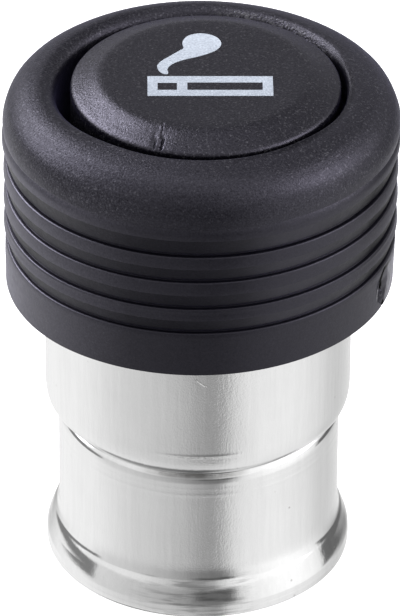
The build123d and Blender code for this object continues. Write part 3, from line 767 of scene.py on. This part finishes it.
def wstep(v, a, b, c=0.0, d=1.0):
    n = wn("ShaderNodeMapRange", interpolation_type="SMOOTHSTEP")
    nt.links.new(v, n.inputs["Value"])
    for k, x in (("From Min", a), ("From Max", b), ("To Min", c), ("To Max", d)):
        n.inputs[k].default_value = x
    return n.outputs["Result"]


wtc = wn("ShaderNodeTexCoord")
wsep = wn("ShaderNodeSeparateXYZ")
nt.links.new(wtc.outputs["Generated"], wsep.inputs[0])
wx, wy, wz = wsep.outputs
az = wmath("DIVIDE", wmath("ARCTAN2", wx, wmath("MULTIPLY", wy, -1.0)), math.pi)      # -1..1, 0 towards -Y, + towards +X
azu = wmath("MULTIPLY_ADD", az, 0.5)
azu.node.inputs[2].default_value = 0.5                                                # 0..1
el = wmath("MULTIPLY", wmath("ARCSINE", wz), 180 / math.pi)


GAIN = 15.0


def band(stops):
    """Brightness round the horizon from (azimuth in degrees, value) stops."""
    n = wn("ShaderNodeValToRGB")
    r = n.color_ramp
    r.interpolation = "B_SPLINE"
    stops = sorted(stops)
    while len(r.elements) < len(stops):
        r.elements.new(0.5)
    for e, (a, v) in zip(r.elements, stops):
        e.position = (a + 180) / 360
        e.color = (v / GAIN, v / GAIN, v / GAIN, 1)
    nt.links.new(azu, n.inputs[0])
    return n.outputs[0]


under = band([(-180, 0.40), (-120, 0.40), (-70, 0.34), (-35, 0.24), (-12, 0.16), (0, 0.14), (14, 0.17), (28, 0.45), (50, 0.80), (80, 0.80), (105, 0.45), (120, 0.2), (150, 0.2), (180, 0.40)])
near = band([(-180, 0.9), (-120, 1.0), (-70, 0.95), (-40, 0.84), (-20, 0.76), (0, 0.72), (15, 0.76), (28, 0.90), (50, 1.02), (120, 0.95), (180, 0.9)])
wall = band([(-180, 0.95), (-150, 1.05), (-141, 1.08), (-101, 1.08), (-84, 1.0), (-70, 0.87), (-56, 0.80), (-40, 0.73), (-24, 0.68), (-10, 0.575), (0, 0.465), (9, 0.36), (16, 0.36),
             (20, 0.50), (24, 0.74), (28, 0.86), (36, 0.95), (48, 1.03), (64, 1.06), (80, 1.04), (97, 0.95), (109, 0.86), (117, 0.76), (125, 0.72), (141, 0.72), (160, 0.85), (180, 0.95)])
horizon = band([(-180, 0.35), (-165, 0.4), (-155, 0.5), (-148, 0.65), (-140, 0.8), (-130, 0.95), (-115, 1.1), (-95, 1.1), (-80, 0.85), (-63, 0.75), (-51, 0.72),
                (-36, 0.62), (-22, 0.52), (-9, 0.36), (0, 0.27), (9, 0.20), (18, 0.20), (25, 0.40), (33, 0.95), (43, 1.1), (58, 1.25), (75, 1.3), (92, 1.15), (108, 0.9),
                (120, 0.65), (130, 0.5), (142, 0.35), (155, 0.25), (170, 0.3), (180, 0.35)])
upper = band([(-180, 0.40), (-160, 0.46), (-140, 0.6), (-110, 1.0), (-80, 1.0), (-60, 0.95), (-40, 0.95), (-20, 0.62), (0, 0.36), (12, 0.40), (20, 0.80), (32, 1.15),
              (55, 1.3), (80, 1.2), (110, 0.9), (125, 0.6), (140, 0.42), (160, 0.40), (180, 0.40)])


def wmix(f, a, b):
    n = wn("ShaderNodeMix", data_type="RGBA")
    nt.links.new(f, n.inputs[0])
    for i, v in ((6, a), (7, b)):
        if isinstance(v, float):
            v = (v, v, v)
        if isinstance(v, tuple):
            n.inputs[i].default_value = (v[0] / GAIN, v[1] / GAIN, v[2] / GAIN, 1)
        else:
            nt.links.new(v, n.inputs[i])
    return n.outputs[2]


def panel(a0, a1, e0, e1, sa=5.0, se=2.5, lean=0.0):
    """Soft-edged patch between two azimuths and two heights, in degrees; lean slants its sides."""
    d = wmath("MULTIPLY", az, 180.0)
    if lean:
        d = wmath("ADD", d, wmath("MULTIPLY", wmath("SUBTRACT", el, 20.0), lean))
    return wmath("MULTIPLY", wmath("MULTIPLY", wstep(d, a0 - sa, a0 + sa), wstep(d, a1 + sa, a1 - sa)),
                 wmath("MULTIPLY", wstep(el, e0 - se, e0 + se), wstep(el, e1 + se, e1 - se)))


full = wmix(wstep(el, -59, -53), under, near)
full = wmix(wstep(el, -50, -41), full, wall)
full = wmix(wstep(el, -32, -20), full, horizon)
full = wmix(panel(-147, -79, -10, 5, 3.0, 3.0), full, 0.26)
full = wmix(panel(103, 150, -18, 2, 2.5, 4.0), full, 0.16)
low_tent = wmix(panel(0, 26, -7, 10, 5.0, 3.0), full, 0.15)
full = wmix(wstep(el, 6, 14), low_tent, upper)
full = wmix(wstep(el, 62, 78), full, 1.25)
full = wmix(panel(-130, -98, 13, 60, 6.0, 7.0), full, (5.2, 5.15, 5.6))          # large soft light at the back left
full = wmix(panel(-144, -134, 23, 57, 4.0, 6.0), full, (13.0, 12.9, 14.0))              # and its brighter end
full = wmix(panel(64, 101, 13, 50, 9.0, 8.0), full, (4.4, 4.3, 4.6))           # weaker one on the right
bg = wn("ShaderNodeBackground")
nt.links.new(full, bg.inputs["Color"])
bg.inputs["Strength"].default_value = GAIN
wo = wn("ShaderNodeOutputWorld")
nt.links.new(bg.outputs[0], wo.inputs["Surface"])
